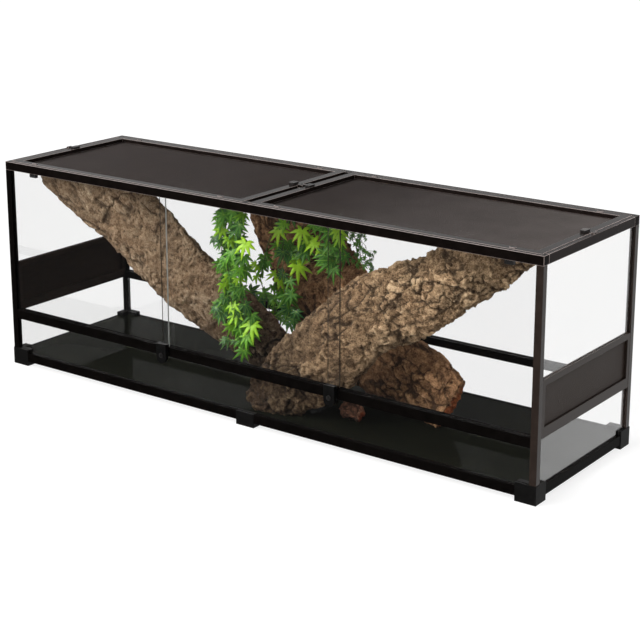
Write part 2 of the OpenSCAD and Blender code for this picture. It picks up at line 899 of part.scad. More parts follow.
module vine_left() { vine(-vine_left_x, strand_y(1), hang_z, vine_left_h, 21, leaf_l, 10, -90); }
module vine_middle() { vine(-vine_middle_x, -5, top_z, vine_middle_h, 17, leaf_l, 200, -90); }
module vine_back() { vine(vine_back_x, strand_y(3), hang_z, vine_back_h, 12, leaf_l, 310, -90); }
module vine_right() {
    vine(strand_x(2), latch_y, hang_z, vine_right_h, 14, leaf_l / 2, 90, -90, vine_right_lean);
}

// ---------- nodes ----------

foot_front_left();
foot_front_right();
foot_back_left();
foot_back_right();
foot_mid_front();
foot_mid_back();
base_rail_front_left();
base_rail_front_right();
base_rail_back_left();
base_rail_back_right();
base_rail_left();
base_rail_right();
post_front_left();
post_front_right();
post_back_left();
post_back_right();
top_rail_front();
top_rail_back();
top_rail_left();
top_rail_right();
top_beam();
door_rail();
back_rail();
floor_panel();
glass_front_lower();
glass_back_lower();
glass_back_upper();
glass_left_lower();
glass_left_upper();
glass_right_lower();
glass_right_upper();
vent_frame_left();
vent_frame_right();
vent_mesh_left();
vent_mesh_right();
door_left();
door_middle();
door_right();
door_stops();
lock_body_left();
lock_body_right();
lock_barrel_left();
lock_barrel_right();
lid_frame_left();
lid_frame_right();
lid_mesh_left();
lid_mesh_right();
latch_left_outer();
latch_left_inner();
latch_right_inner();
latch_right_outer();
bark_left();
bark_front();
bark_rear();
bark_small();
vine_left();
vine_middle();
vine_back();
vine_right();
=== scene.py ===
import json
import math
import random

import bmesh
import bpy
import numpy as np
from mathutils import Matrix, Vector, noise

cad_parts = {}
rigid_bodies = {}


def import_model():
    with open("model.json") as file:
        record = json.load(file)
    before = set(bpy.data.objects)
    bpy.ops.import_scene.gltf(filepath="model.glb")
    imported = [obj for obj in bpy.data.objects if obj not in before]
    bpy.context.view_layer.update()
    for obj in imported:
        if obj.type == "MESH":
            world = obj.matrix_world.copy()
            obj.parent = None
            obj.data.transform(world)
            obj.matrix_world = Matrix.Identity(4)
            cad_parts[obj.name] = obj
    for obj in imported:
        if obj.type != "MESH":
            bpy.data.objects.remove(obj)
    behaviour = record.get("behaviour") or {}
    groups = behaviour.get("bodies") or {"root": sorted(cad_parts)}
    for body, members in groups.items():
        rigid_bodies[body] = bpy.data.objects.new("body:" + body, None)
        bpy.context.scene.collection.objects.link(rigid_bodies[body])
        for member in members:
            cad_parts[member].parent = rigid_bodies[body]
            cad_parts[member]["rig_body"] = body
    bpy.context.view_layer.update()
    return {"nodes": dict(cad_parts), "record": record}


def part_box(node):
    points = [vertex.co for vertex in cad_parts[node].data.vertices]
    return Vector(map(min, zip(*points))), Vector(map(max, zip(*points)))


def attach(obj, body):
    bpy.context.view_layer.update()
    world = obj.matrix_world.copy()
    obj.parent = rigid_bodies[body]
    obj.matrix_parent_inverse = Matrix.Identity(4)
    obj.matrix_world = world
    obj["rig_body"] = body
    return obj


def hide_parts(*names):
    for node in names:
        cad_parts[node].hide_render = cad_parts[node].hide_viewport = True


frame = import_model()
nodes = frame["nodes"]
MM = 0.001


# ---------- materials ----------


class Tree:
    """A material's node tree, built by names."""

    def __init__(self, name):
        self.mat = bpy.data.materials.new(name)
        self.mat.use_nodes = True
        self.nt = self.mat.node_tree
        self.nt.nodes.clear()
        self.out = self.add("ShaderNodeOutputMaterial")

    def add(self, kind, props=None, **inputs):
        n = self.nt.nodes.new(kind)
        for k, v in (props or {}).items():
            setattr(n, k, v)
        for k, v in inputs.items():
            self.put(n.inputs[k.replace("_", " ")], v)
        return n

    def put(self, socket, v):
        if isinstance(v, bpy.types.NodeSocket):
            self.nt.links.new(v, socket)
        elif isinstance(v, (tuple, list)) and len(v) == 3 and socket.type == "RGBA":
            socket.default_value = (*v, 1)
        else:
            socket.default_value = v

    def noise(self, scale, detail=4, rough=0.55, stretch=(1, 1, 1), seed=0.0):
        place = self.add("ShaderNodeTexCoord").outputs["Object"]
        m = self.add("ShaderNodeMapping", Vector=place)
        m.inputs["Scale"].default_value = stretch
        m.inputs["Location"].default_value = (seed, seed * 0.7, seed * 0.3)
        n = self.add("ShaderNodeTexNoise", Vector=m.outputs[0])
        n.inputs["Scale"].default_value = scale
        n.inputs["Detail"].default_value = detail
        n.inputs["Roughness"].default_value = rough
        return n.outputs["Fac"]

    def ramp(self, fac, stops):
        r = self.add("ShaderNodeValToRGB")
        self.put(r.inputs["Fac"], fac)
        e = r.color_ramp.elements
        while len(e) < len(stops):
            e.new(0.5)
        for i, (p, c) in enumerate(stops):
            e[i].position = p
            e[i].color = (*c, 1)
        return r.outputs["Color"]

    def range(self, v, a, b, c, d):
        m = self.add("ShaderNodeMapRange")
        self.put(m.inputs["Value"], v)
        for k, x in (("From Min", a), ("From Max", b), ("To Min", c), ("To Max", d)):
            m.inputs[k].default_value = x
        return m.outputs["Result"]

    def math(self, op, a, b):
        m = self.add("ShaderNodeMath", {"operation": op})
        self.put(m.inputs[0], a)
        self.put(m.inputs[1], b)
        return m.outputs[0]

    def mix(self, kind, fac, a, b):
        m = self.add("ShaderNodeMix", {"data_type": "RGBA", "blend_type": kind})
        self.put(m.inputs[0], fac)
        self.put(m.inputs[6], a)
        self.put(m.inputs[7], b)
        return m.outputs[2]

    def attribute(self, name):
        return self.add("ShaderNodeAttribute", {"attribute_name": name}).outputs["Fac"]

    def bump(self, height, strength, distance):
        b = self.add("ShaderNodeBump")
        self.put(b.inputs["Height"], height)
        b.inputs["Strength"].default_value = strength
        b.inputs["Distance"].default_value = distance
        return b.outputs["Normal"]

    def surface(self, socket):
        self.nt.links.new(socket, self.out.inputs["Surface"])
        return self.mat


def satin(name, dark, light, roughness, ior, scale=60, stretch=(1, 1, 1), metal=0.0, grain=0.1):
    """A plain surface whose colour and gloss wander a little."""
    t = Tree(name)
    n = t.noise(scale, stretch=stretch)
    p = t.add("ShaderNodeBsdfPrincipled")
    t.put(p.inputs["Base Color"], t.ramp(n, [(0.3, dark), (0.7, light)]))
    p.inputs["Metallic"].default_value = metal
    p.inputs["IOR"].default_value = ior
    t.put(p.inputs["Roughness"], t.range(n, 0.2, 0.8, roughness * 0.85, roughness * 1.15))
    t.put(p.inputs["Normal"], t.bump(t.noise(900, 2), grain, 0.0003))
    return t.surface(p.outputs[0])


def glass(name, tint, ior, roughness=0.0):
    """Clear glass that lets the lamps through."""
    t = Tree(name)
    n = t.noise(3.0, 1)
    p = t.add("ShaderNodeBsdfPrincipled")
    low = tuple(c * 0.985 for c in tint)
    t.put(p.inputs["Base Color"], t.ramp(n, [(0.2, low), (0.8, tint)]))
    p.inputs["Transmission Weight"].default_value = 1.0
    p.inputs["IOR"].default_value = ior
    p.inputs["Roughness"].default_value = roughness
    clear = t.add("ShaderNodeBsdfTransparent")
    clear.inputs["Color"].default_value = (*tint, 1)
    rays = t.add("ShaderNodeLightPath")
    m = t.add("ShaderNodeMixShader")
    t.put(m.inputs[0], rays.outputs["Is Shadow Ray"])
    t.put(m.inputs[1], p.outputs[0])
    t.put(m.inputs[2], clear.outputs[0])
    return t.surface(m.outputs[0])


# name: dark colour, light colour, roughness, index of refraction, grain size, and what differs
SATINS = {
    "foot_plastic": ((0.0035, 0.0033, 0.0032), (0.006, 0.0056, 0.0054), 0.5, 1.16, 90, {}),
    "bar_metal": ((0.0024, 0.0020, 0.0018), (0.0042, 0.0034, 0.0031), 0.24, 1.06, 45, {"grain": 0.02}),
    # painted light: a lighter, browner copy of bar_metal for the top rails and beam, standing for light from
    # above
    "bar_top": ((0.0040, 0.0029, 0.0025), (0.0070, 0.0050, 0.0043), 0.22, 1.07, 45, {"grain": 0.02}),
    # painted light: a much lighter copy of bar_metal for the right-hand posts, standing for the light on the
    # right side
    "bar_end": ((0.020, 0.0138, 0.0110), (0.030, 0.0205, 0.0165), 0.24, 1.30, 45, {"grain": 0.02}),
    "lid_metal": ((0.010, 0.0068, 0.0058), (0.016, 0.0112, 0.0096), 0.24, 1.11, 45, {"grain": 0.02}),
    "vent_metal": ((0.024, 0.0165, 0.0130), (0.037, 0.0255, 0.0205), 0.34, 1.24, 30,
                   {"stretch": (1, 1, 9), "grain": 0.05}),
    # painted shade: a darker copy of vent_metal for the left vent, seen from inside in shade
    "vent_inner": ((0.0150, 0.0105, 0.0085), (0.0240, 0.0175, 0.0140), 0.5, 1.06, 30,
                   {"stretch": (1, 1, 9), "grain": 0.05}),
    # painted light: a lighter copy of vent_metal for the right vent's wires, lit from the right side
    "vent_wire": ((0.034, 0.0235, 0.0185), (0.050, 0.035, 0.0275), 0.45, 1.35, 30,
                  {"stretch": (1, 1, 9), "grain": 0.05}),
    "floor_sheet": ((0.0062, 0.0068, 0.0044), (0.0076, 0.0083, 0.0054), 0.03, 1.04, 6, {"grain": 0.0}),
    "stop_plastic": ((0.005, 0.005, 0.005), (0.009, 0.0085, 0.008), 0.5, 1.4, 90, {"grain": 0.25}),
    "lock_case": ((0.0035, 0.0035, 0.0035), (0.006, 0.0058, 0.0056), 0.42, 1.16, 90, {}),
    "lock_steel": ((0.09, 0.088, 0.085), (0.14, 0.137, 0.132), 0.35, 1.5, 200, {"metal": 1.0}),
    "latch_plastic": ((0.012, 0.010, 0.0095), (0.022, 0.018, 0.017), 0.3, 1.45, 90, {}),
    # painted highlight and painted shade for the upright edges of the door glass
    "ground_edge": ((0.42, 0.44, 0.42), (0.50, 0.52, 0.50), 0.5, 1.45, 300, {}),
    "dark_edge": ((0.035, 0.028, 0.022), (0.050, 0.040, 0.031), 0.5, 1.2, 300, {}),
    # painted highlight: the pale lines along the bevelled edges of the top bars and lid frames
    "bright_edge": ((0.24, 0.190, 0.172), (0.36, 0.285, 0.262), 0.3, 1.4, 45, {}),
}
MAT = {name: satin(name, *row[:5], **row[5]) for name, row in SATINS.items()}
MAT["pane_front"] = glass("clear_glass", (0.985, 0.985, 0.985), 1.4)
MAT["pane_end"] = glass("clear_glass_end", (0.985, 0.985, 0.98), 1.55)
MAT["door_glass"] = glass("door_glass", (0.985, 0.985, 0.985), 1.4)


def bark_material(name, deep, low, mid, high, end):
    """Cork bark: four tones from the cracks to the flakes' tops, painted shade in the cracks and pits, and a
    tint for the cut ends.
    """
    t = Tree(name)
    fine = t.noise(240, 8, 0.75)
    mottle = t.noise(55, 7, 0.7, seed=3.1)
    broad = t.noise(7, 4, 0.6, seed=7.7)
    speck = t.noise(520, 3, 0.6, seed=1.3)
    depth = t.attribute("depth")
    flake = t.attribute("tone")
    value = t.math("ADD", t.math("MULTIPLY", fine, 0.40), t.math("MULTIPLY", mottle, 0.34))
    value = t.math("ADD", value, t.math("MULTIPLY", t.range(flake, 0.1, 0.9, 0.35, 0.65), 0.26))
    base = t.ramp(value, [(0.36, deep), (0.44, low), (0.52, mid), (0.62, high)])
    cool = t.mix("MULTIPLY", 1.0, base, (0.84, 0.92, 0.97))
    grey = t.mix("MIX", t.range(broad, 0.45, 0.65, 0.0, 0.5), base, cool)
    # painted shade: darker towards the bottom of cracks and pits, by the depth attribute
    dark = t.mix("MIX", t.range(depth, 0.1, 0.75, 0.85, 0.0), grey, deep)
    pale = t.mix("MIX", t.range(speck, 0.60, 0.70, 0.0, 0.30), dark, high)
    cut = t.mix("MULTIPLY", 1.0, t.ramp(fine, [(0.35, low), (0.65, high)]), end)
    ends = t.mix("MIX", t.attribute("ends"), pale, cut)
    depth_of_shade = t.ramp(t.attribute("shade"), [(0.0, (0.17, 0.15, 0.13)), (1.0, (1.12, 1.07, 1.0))])
    shade = t.mix("MULTIPLY", 1.0, ends, depth_of_shade)
    p = t.add("ShaderNodeBsdfPrincipled")
    t.put(p.inputs["Base Color"], shade)
    p.inputs["Roughness"].default_value = 0.9
    p.inputs["Specular IOR Level"].default_value = 0.2
    height = t.math("ADD", t.math("MULTIPLY", fine, 0.7), t.math("MULTIPLY", mottle, 0.6))
    t.put(p.inputs["Normal"], t.bump(height, 1.0, 0.006))
    return t.surface(p.outputs[0])


def lid_wire_painted_sheen():
    """Coated wire whose colour pales towards the right end, a painted sheen."""
    t = Tree("mesh_metal")
    n = t.noise(14)
    place = t.add("ShaderNodeSeparateXYZ", Vector=t.add("ShaderNodeTexCoord").outputs["Object"])
    dark = t.ramp(n, [(0.3, (0.019, 0.0135, 0.0120)), (0.7, (0.026, 0.0185, 0.0165))])
    pale = t.ramp(n, [(0.3, (0.094, 0.081, 0.076)), (0.7, (0.118, 0.102, 0.096))])
    p = t.add("ShaderNodeBsdfPrincipled")
    # painted sheen: the wire's colour goes from dark to pale along x
    along = t.range(place.outputs["X"], 0.15, 0.9, 0.0, 1.0)
    t.put(p.inputs["Base Color"], t.mix("MIX", along, dark, pale))
    p.inputs["IOR"].default_value = 1.3
    p.inputs["Roughness"].default_value = 0.5
    return t.surface(p.outputs[0])


MAT["mesh_metal"] = lid_wire_painted_sheen()
MAT["bark_left"] = bark_material(
    "bark_grey", (0.026, 0.015, 0.008), (0.15, 0.096, 0.055), (0.285, 0.212, 0.142), (0.50, 0.405, 0.295),
    (1.0, 0.75, 0.6))
MAT["bark_front"] = bark_material(
    "bark_buff", (0.026, 0.015, 0.008), (0.15, 0.093, 0.050), (0.41, 0.285, 0.170), (0.74, 0.57, 0.375),
    (1.1, 0.7, 0.5))
MAT["bark_rear"] = bark_material(
    "bark_brown", (0.024, 0.012, 0.006), (0.13, 0.068, 0.034), (0.33, 0.185, 0.095), (0.62, 0.39, 0.215),
    (1.15, 0.6, 0.42))
MAT["root"] = bark_material(
    "root_brown", (0.02, 0.010, 0.006), (0.09, 0.045, 0.028), (0.22, 0.10, 0.06), (0.42, 0.22, 0.13),
    (1.2, 0.6, 0.42))


def leaf_material(name, dark, mid, light, rib):
    """Leaf green that goes from dark to light with the leaf's tint, with a pale midrib."""
    t = Tree(name)
    tint = t.attribute("tint")
    n = t.noise(70, 4, seed=2.0)
    fac = t.math("ADD", t.math("MULTIPLY", tint, 0.85), t.math("MULTIPLY", n, 0.15))
    base = t.ramp(fac, [(0.1, dark), (0.5, mid), (0.9, light)])
    veined = t.mix("MIX", t.range(t.attribute("vein"), 0.04, 0.2, 0.65, 0.0), base, rib)
    p = t.add("ShaderNodeBsdfPrincipled")
    t.put(p.inputs["Base Color"], veined)
    p.inputs["Roughness"].default_value = 0.42
    p.inputs["Specular IOR Level"].default_value = 0.35
    t.put(p.inputs["Normal"], t.bump(t.noise(260, 3), 0.35, 0.001))
    glow = t.add("ShaderNodeBsdfTranslucent")
    t.put(glow.inputs["Color"], base)
    m = t.add("ShaderNodeMixShader")
    m.inputs[0].default_value = 0.22
    t.put(m.inputs[1], p.outputs[0])
    t.put(m.inputs[2], glow.outputs[0])
    return t.surface(m.outputs[0])


MAT["leaf"] = leaf_material(
    "vine_green", (0.020, 0.090, 0.030), (0.090, 0.300, 0.014), (0.36, 0.64, 0.020), (0.44, 0.72, 0.07))
MAT["stem"] = satin("vine_stem", (0.035, 0.06, 0.014), (0.08, 0.12, 0.03), 0.5, 1.4, 120)


# ---------- CAD nodes that are shown ----------

# width of the fine bevel in mm, by the start of the node's name
BEVELS = {"foot": 1.2, "base_rail": 0.8, "post": 0.8, "top_rail": 1.0, "top_beam": 0.7, "door_rail": 0.8,
          "back_rail": 0.8, "vent_frame": 0.8, "lid_frame": 0.8, "door_stops": 0.8, "lock_body": 1.0,
          "lock_barrel": 0.35, "latch": 0.5}
slots = {s["node"]: s["material_slot"] for s in frame["record"]["subparts"]}


def paint(o, material):
    """Gives the object this one material."""
    o.data.materials.clear()
    o.data.materials.append(material)


for name, o in nodes.items():
    slot = slots[name]
    if slot == "clear_glass":
        end = name.startswith(("glass_left", "glass_right"))
        paint(o, MAT["pane_end" if end else "pane_front"])
    # painted shade: the left vent frame takes the darker copy of the vent metal
    elif name == "vent_frame_left":
        paint(o, MAT["vent_inner"])
    # painted light: the right-hand posts take the lighter copy of the bar metal
    elif name in ("post_front_right", "post_back_right"):
        paint(o, MAT["bar_end"])
    # painted light: the right top rail takes the lighter lid metal, standing for the light at the right end
    elif name == "top_rail_right":
        paint(o, MAT["lid_metal"])
    # painted light: the top rails and beam take the lighter copy of the bar metal
    elif name.startswith("top_"):
        paint(o, MAT["bar_top"])
    elif slot in MAT:
        paint(o, MAT[slot])
    if slot == "door_glass":
        o.data.materials.append(MAT["ground_edge"])
        o.data.materials.append(MAT["dark_edge"])
        for face in o.data.polygons:
            if abs(face.normal.x) > 0.9:
                # 1: painted highlight on the edge that catches the light, 2: painted shade on the other
                #    upright edges
                face.material_index = 1 if name == "door_left" and face.normal.x > 0 else 2
    for start, width in BEVELS.items():
        if name.startswith(start):
            weld = o.modifiers.new("weld", "WELD")
            weld.merge_threshold = 0.00001
            b = o.modifiers.new("edge", "BEVEL")
            b.width = width * MM
            b.segments = 2
            b.limit_method = "ANGLE"
            b.angle_limit = math.radians(50)
            b.harden_normals = False
            # painted highlight: the bevel faces of the lid frames and top bars take the pale edge colour
            if name.startswith(("lid_frame", "top_")):
                o.data.materials.append(MAT["bright_edge"])
                b.material = 1


# ---------- helpers for new pieces ----------


def new_piece(name, points, faces, material, body, stands_for, smooth=True):
    """A piece of the scene that shows in place of the CAD node stands_for and moves with body."""
    mesh = bpy.data.meshes.new(name)
    mesh.from_pydata([tuple(p) for p in points], [], [tuple(f) for f in faces])
    mesh.validate()
    mesh.update()
    o = bpy.data.objects.new(name, mesh)
    bpy.context.scene.collection.objects.link(o)
    mesh.materials.append(material)
    if smooth:
        mesh.polygons.foreach_set("use_smooth", [True] * len(mesh.polygons))
    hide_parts(stands_for)
    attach(o, body)
    return o


def set_attribute(o, name, values):
    """Stores one number for each point of the mesh."""
    a = o.data.attributes.get(name) or o.data.attributes.new(name, "FLOAT", "POINT")
    a.data.foreach_set("value", np.asarray(values, np.float32))


def body_with(node):
    """The body that the CAD node rides on."""
    return nodes[node]["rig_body"]


# ---------- woven wire meshes ----------


def wire_net(name, lo, hi, flat, pitch, wire, reach):
    """Wires both ways across the opening from lo to hi, in place of the CAD node name; flat is the
    axis that the net is thin along."""
    u, v = [a for a in range(3) if a != flat]
    middle = (lo[flat] + hi[flat]) / 2
    points, faces = [], []
    ring = [(0, 1), (0.87, 0.5), (0.87, -0.5), (0, -1), (-0.87, -0.5), (-0.87, 0.5)]
    for along, across, level in ((u, v, 0.35), (v, u, -0.35)):
        count = int(round((hi[across] - lo[across]) / pitch))
        for k in range(1, count):
            at = lo[across] + k * (hi[across] - lo[across]) / count
            start = len(points)
            for end in (lo[along] - reach, hi[along] + reach):
                for a, b in ring:
                    p = [0.0, 0.0, 0.0]
                    p[along] = end
                    p[across] = at + a * wire / 2
                    p[flat] = middle + level * wire + b * wire / 2
                    points.append(p)
            for i in range(6):
                j = (i + 1) % 6
                faces.append((start + i, start + j, start + 6 + j, start + 6 + i))
            faces.append(tuple(start + i for i in reversed(range(6))))
            faces.append(tuple(start + 6 + i for i in range(6)))
    new_piece(name + "_wires", points, faces, MAT[wires[name]], body_with(name), name, smooth=False)


REACH = 4.5 * MM                            # how far the CAD mesh reaches into its frame
LID_NET = (2.2 * MM, 0.65 * MM)             # pitch and wire
VENT_NET = (1.45 * MM, 1.25 * MM)
# the left vent's wires carry painted shade and the right vent's wires painted light
wires = {"lid_mesh_left": "mesh_metal", "lid_mesh_right": "mesh_metal",
         "vent_mesh_left": "vent_inner", "vent_mesh_right": "vent_wire"}
for node in wires:
    flat = 2 if node.startswith("lid") else 0
    lo, hi = (list(v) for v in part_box(node))
    for k in range(3):
        if k != flat:
            lo[k] += REACH
            hi[k] -= REACH
    pitch, wire = LID_NET if flat == 2 else VENT_NET
    wire_net(node, lo, hi, flat, pitch, wire, 0.9 * REACH)


# ---------- bark ----------

# the planes in mm at which the slabs are cut: floor sheet, lids and front glass
BARK_LO, BARK_HI, BARK_FRONT = 40.3, 594.0, -221.5
# noise_vector would start from the clock without a seed; this one is the start second of the run
# whose export was checked, so the barks keep the relief of that export
RELIEF_SEED = 1795553996
noise.seed_set(RELIEF_SEED)
# name: seed, then stations of (x, y, z, half width, half thickness) in mm along the slab
STATIONS = {
    "bark_left": (20, [
        (-745, -182, 668, 126, 42), (-600, -165, 566, 126, 42), (-475, -150, 485, 118.4, 42),
        (-373, -135, 396.3, 114.7, 42), (-296, -120, 325.3, 114.7, 42), (-192, -98, 255.3, 98.3, 34),
        (-90, -78, 190.3, 92, 30), (-20, -62, 138.3, 80.6, 30), (40, -42, 90.3, 73.1, 30)]),
    "bark_front": (75, [
        (30, -188, 30.3, 88.5, 34), (99, -178, 130.3, 95.2, 38), (204, -165, 217.3, 112, 42),
        (332, -152, 335.3, 106.4, 42), (459, -140, 405.3, 100.8, 42), (567, -130, 479, 94.1, 42),
        (650, -120, 551, 94.1, 40), (732, -110, 624, 91.8, 40), (830, -100, 710, 91.8, 40)]),
    "bark_rear": (140, [
        (-150, 90, 720, 150, 42), (-86, 90, 499, 150, 42), (-40, 85, 408.3, 147, 42),
        (14, 80, 326.3, 159, 42), (130, 60, 236.3, 150, 42), (276, 30, 180.3, 127.5, 40),
        (410, 2, 150.3, 105, 36), (515, -20, 100.3, 91.5, 32)]),
    "bark_small": (10, [
        (236, -119, 54.3, 18, 14), (266, -119, 70.3, 30, 22), (298, -125, 56.3, 20, 14)]),
}


def at(st, s):
    """The smooth blend of the stations at s, an array from 0 to 1."""
    st = np.asarray(st, float)
    f = s * (len(st) - 1)
    i = np.minimum(np.floor(f).astype(int), len(st) - 2)
    u = (f - i)[:, None]
    a, b, c, d = st[np.maximum(i - 1, 0)], st[i], st[i + 1], st[np.minimum(i + 2, len(st) - 1)]
    return (b + u * (c - a) / 2 + u * u * (a - 2.5 * b + 2 * c - d / 2)
            + u ** 3 * (3 * (b - c) + d - a) / 2)


def lump(q, s, seed):
    """How much wider or narrower than its stations the slab is, at angle q round it and s along it."""
    q = np.degrees(q)
    return (1 + 0.04 * np.sin(np.radians(3 * q + 420 * s + seed))
            + 0.03 * np.sin(np.radians(5 * q - 640 * s + 2 * seed))
            + 0.03 * np.sin(np.radians(2 * q + 1180 * s + 3 * seed)))


def smooth_step(x, a, b):
    """0 below a, 1 above b and a soft rise between."""
    t = min(1.0, max(0.0, (x - a) / (b - a)))
    return t * t * (3 - 2 * t)


def relief(p, style, seed):
    """Height in mm, how deep in a crack or pit, 0 to 1, and the tone of the flake, 0 to 1, at a point
    of the straightened slab; p is (along, across, through) in mm."""
    o = Vector((seed * 1.7, seed * 0.9, seed * 2.3))
    q = Vector(p)
    w = q + noise.noise_vector(q / 42 + o) * style["bend"] + noise.noise_vector(q / 13 + o) * 4.5
    plate_at = Vector((w.x / style["long"], w.y / style["wide"], w.z / style["wide"])) + o
    near, middle = noise.voronoi(plate_at)
    plate = noise.cell(middle[0] * 61.7)
    crack = 1 - smooth_step(near[1] - near[0], 0.0, style["crack_w"])
    crack *= smooth_step(noise.noise(q / 95 + o * 2), style["open"], style["open"] + 0.3)
    small = Vector((w.x / style["flake_l"], w.y / style["flake_w"], w.z / style["flake_w"])) + o
    near, middle = noise.voronoi(small)
    flake = noise.cell(middle[0] * 43.1)
    seam = 1 - smooth_step(near[1] - near[0], 0.0, 0.35)
    rough = noise.fractal(q / 36 + o, 0.8, 2.1, 5)
    pit = smooth_step(noise.fractal(w / 11 + o * 3, 0.8, 2.0, 3), 0.28, 0.75)
    h = (style["plate"] * (plate - 0.5) + style["flake"] * (flake - 0.5) + style["rough"] * rough
         - style["crack"] * crack - style["chip"] * seam - style["pit"] * pit)
    deep = min(1.0, 0.95 * crack + 0.14 * seam * (1.2 - flake) + 0.8 * pit + max(0.0, -0.6 * rough))
    return h, deep, 0.55 * flake + 0.45 * plate


def slab(name, style, step, material):
    """The carved slab that shows in place of the CAD node name, with a point about every step mm."""
    seed, st = STATIONS[name]
    fine = at(st, np.linspace(0, 1, 400))
    length = np.linalg.norm(np.diff(fine[:, :3], axis=0), axis=1).sum()
    rings = max(12, int(length / step))
    w, t = np.mean([x[3] for x in st]), np.mean([x[4] for x in st])
    dense = np.linspace(0, 2 * np.pi, 2001)
    arc = np.concatenate([[0], np.cumsum(np.hypot(np.diff(w * np.cos(dense)), np.diff(t * np.sin(dense))))])
    sides = max(24, int(arc[-1] / step))
    q = np.interp(np.linspace(0, arc[-1], sides, endpoint=False), arc, dense)
    s = np.linspace(0, 1, rings + 1)
    c = at(st, s)
    d = at(st, np.minimum(s + 0.03, 1)) - at(st, np.maximum(s - 0.03, 0))
    across = np.stack([d[:, 2], 0 * d[:, 2], -d[:, 0]], 1) / np.hypot(d[:, 0], d[:, 2])[:, None]
    forward = d[:, :3] / np.linalg.norm(d[:, :3], axis=1)[:, None]
    S, Q = np.meshgrid(s, q, indexing="ij")
    wide = c[:, 3][:, None] * np.cos(Q) * lump(Q, S, seed)
    deep = c[:, 4][:, None] * np.sin(Q) * lump(Q, S, seed + 40)
    P = c[:, None, :3] + across[:, None, :] * wide[..., None]
    P[..., 1] += deep
    # outward normals from the grid
    ds = np.gradient(P, axis=0)
    dq = np.roll(P, -1, axis=1) - np.roll(P, 1, axis=1)
    N = np.cross(dq, ds)
    N /= np.linalg.norm(N, axis=2)[..., None] + 1e-9
    if np.mean(np.sum(N * (P - c[:, None, :3]), axis=2)) < 0:
        N = -N
    run = S * length
    H = np.zeros(S.shape)
    D = np.zeros(S.shape)
    T = np.zeros(S.shape)
    for j in range(rings + 1):
        for i in range(sides):
            H[j, i], D[j, i], T[j, i] = relief((run[j, i], wide[j, i], deep[j, i]), style, seed)
    P = P + N * H[..., None]
    points = list(P.reshape(-1, 3))
    depth = list((1 - D).reshape(-1))
    tone = list(T.reshape(-1))
    ends = [0.0] * len(points)
    faces = []
    for j in range(rings):
        for i in range(sides):
            k = (i + 1) % sides
            faces.append((j * sides + i, j * sides + k, (j + 1) * sides + k, (j + 1) * sides + i))
    # ragged ends, closed by rings that shrink to the middle
    for which, sign in ((0, -1), (rings, 1)):
        ring = [which * sides + i for i in range(sides)]
        centre = P[which].mean(axis=0)
        fwd = forward[which] * sign
        loops = 14
        last = ring
        for m in range(1, loops):
            f = 1 - m / loops
            this = []
            for i in range(sides):
                p = centre + (P[which, i] - centre) * f
                v = Vector(p / 14.0)
                push = 9 * noise.fractal(v, 0.7, 2.1, 4) + 7 * (1 - f)
                this.append(len(points))
                points.append(p + fwd * push)
                depth.append(0.55 + 0.5 * noise.noise(v * 1.7))
                tone.append(0.5 + 0.5 * noise.noise(v * 2.3))
                ends.append(min(1.0, 3.0 * (1 - f)))
            for i in range(sides):
                k = (i + 1) % sides
                quad = (last[i], last[k], this[k], this[i])
                faces.append(quad if sign > 0 else quad[::-1])
            last = this
        tip = len(points)
        points.append(centre + fwd * 9)
        depth.append(0.6)
        tone.append(0.5)
        ends.append(1.0)
        for i in range(sides):
            tri = (last[i], last[(i + 1) % sides], tip)
            faces.append(tri if sign > 0 else tri[::-1])
    pts = np.array(points) * MM
    o = new_piece(name + "_cork", pts, faces, material, body_with(name), name)
    set_attribute(o, "depth", np.clip(depth, 0, 1))
    set_attribute(o, "tone", tone)
    set_attribute(o, "ends", ends)
    by_x, low, high = style["shade"]
    shade = np.clip((by_x * pts[:, 0] / MM + pts[:, 2] / MM - low) / (high - low), 0, 1)
    set_attribute(o, "shade", shade)
    # cut flat at the floor, the front glass and the lids
    bm = bmesh.new()
    bm.from_mesh(o.data)
    cuts = (((0, 0, BARK_HI * MM), (0, 0, 1)), ((0, 0, BARK_LO * MM), (0, 0, -1)),
            ((0, BARK_FRONT * MM, 0), (0, -1, 0)))
    for co, no in cuts:
        geom = bm.verts[:] + bm.edges[:] + bm.faces[:]
        r = bmesh.ops.bisect_plane(bm, geom=geom, plane_co=co, plane_no=no, clear_outer=True)
        edges = [e for e in r["geom_cut"] if isinstance(e, bmesh.types.BMEdge)]
        if edges:
            bmesh.ops.triangle_fill(bm, use_beauty=False, use_dissolve=False, edges=edges)
    bmesh.ops.recalc_face_normals(bm, faces=bm.faces[:])
    bm.to_mesh(o.data)
    bm.free()
    o.data.update()


# the carving of each kind of bark; lengths in mm, shade as (slope by x, dark below, light above)
CORK = dict(long=95, wide=48, crack_w=0.10, open=-0.05, bend=16, flake_l=12, flake_w=8.5, plate=3.0,
            flake=1.9, rough=4.0, pit=3.0, crack=5.0, chip=0.8, shade=(-0.8, 150.0, 560.0))
CHUNKY = dict(long=48, wide=36, crack_w=0.16, open=-0.2, bend=14, flake_l=12, flake_w=10, plate=4.6,
              flake=2.9, rough=5.0, pit=4.2, crack=3.5, chip=0.7, shade=(1.2, 120.0, 1000.0))
FURROWED = dict(long=60, wide=34, crack_w=0.16, open=-0.2, bend=14, flake_l=19, flake_w=12, plate=4.0,
                flake=2.8, rough=4.6, pit=4.0, crack=3.5, chip=0.8, shade=(0.5, 90.0, 320.0))
ROOT = dict(FURROWED, long=30, wide=18, flake_l=10, flake_w=7, rough=2.5, plate=1.5, flake=1.2,
            crack=2.5, chip=0.6, pit=1.2, shade=(0.0, 20.0, 90.0))
STEP = 3.4
slab("bark_left", CORK, STEP, MAT["bark_left"])
slab("bark_front", CHUNKY, STEP, MAT["bark_front"])
slab("bark_rear", FURROWED, STEP, MAT["bark_rear"])
slab("bark_small", ROOT, 2.0, MAT["root"])


# ---------- vines ----------


